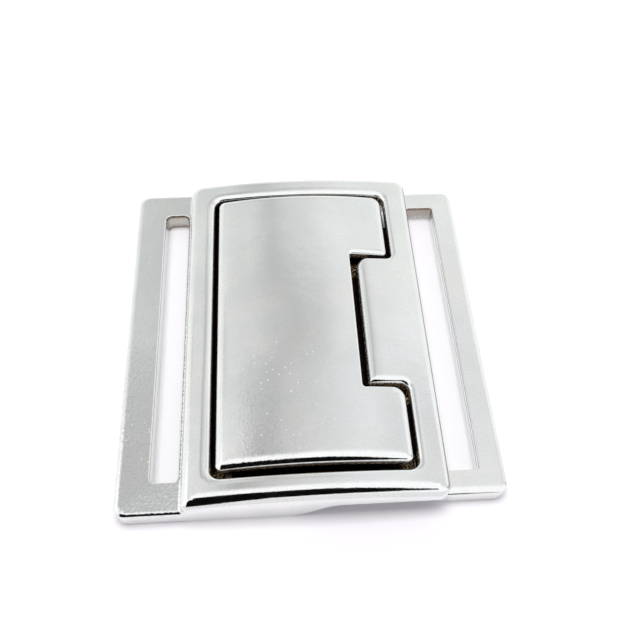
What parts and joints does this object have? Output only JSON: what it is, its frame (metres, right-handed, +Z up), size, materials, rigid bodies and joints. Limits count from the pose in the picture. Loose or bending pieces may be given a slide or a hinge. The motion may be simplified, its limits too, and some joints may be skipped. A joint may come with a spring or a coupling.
{
  "type": "snap buckle",
  "caption": "Closed metal snap buckle for wide webbing: arched frame with a press plate notched round a tab, and a flat strap slot at each end.",
  "frame": {"origin": "under the middle of the whole closed buckle, on the surface it lies on", "axes": "+X along the webbing, from the frame's strap plate to the tongue's; +Y across the webbing, away from the picture's camera; +Z up, through the press plate"},
  "size_m": [0.058, 0.061, 0.0077],
  "materials": {
    "frame": "bright nickel plate on die-cast zinc alloy, with a faint orange-peel ripple, pits and handling marks; the strap plate is duller",
    "tongue": "bright nickel plate on die-cast zinc alloy, smoother than the frame's strap plate",
    "press_plate": "bright polished nickel plate on die-cast zinc alloy",
    "hinge_pin": "plain drawn steel"
  },
  "bodies": {
    "buckle": {"frame": "frame", "tongue": "tongue", "hinge_pin": "hinge_pin"},
    "press_plate": {"press_plate": "press_plate"}
  },
  "joints": [
    {"name": "press_hinge", "type": "hinge", "parent": "buckle", "child": "press_plate", "pos_m": [-0.01218, 0, 0.0042], "axis": [0, 1, 0], "range_deg": [0, 3.4], "stiffness_Nm_per_rad": 1, "springref_deg": -0.57}
  ]
}
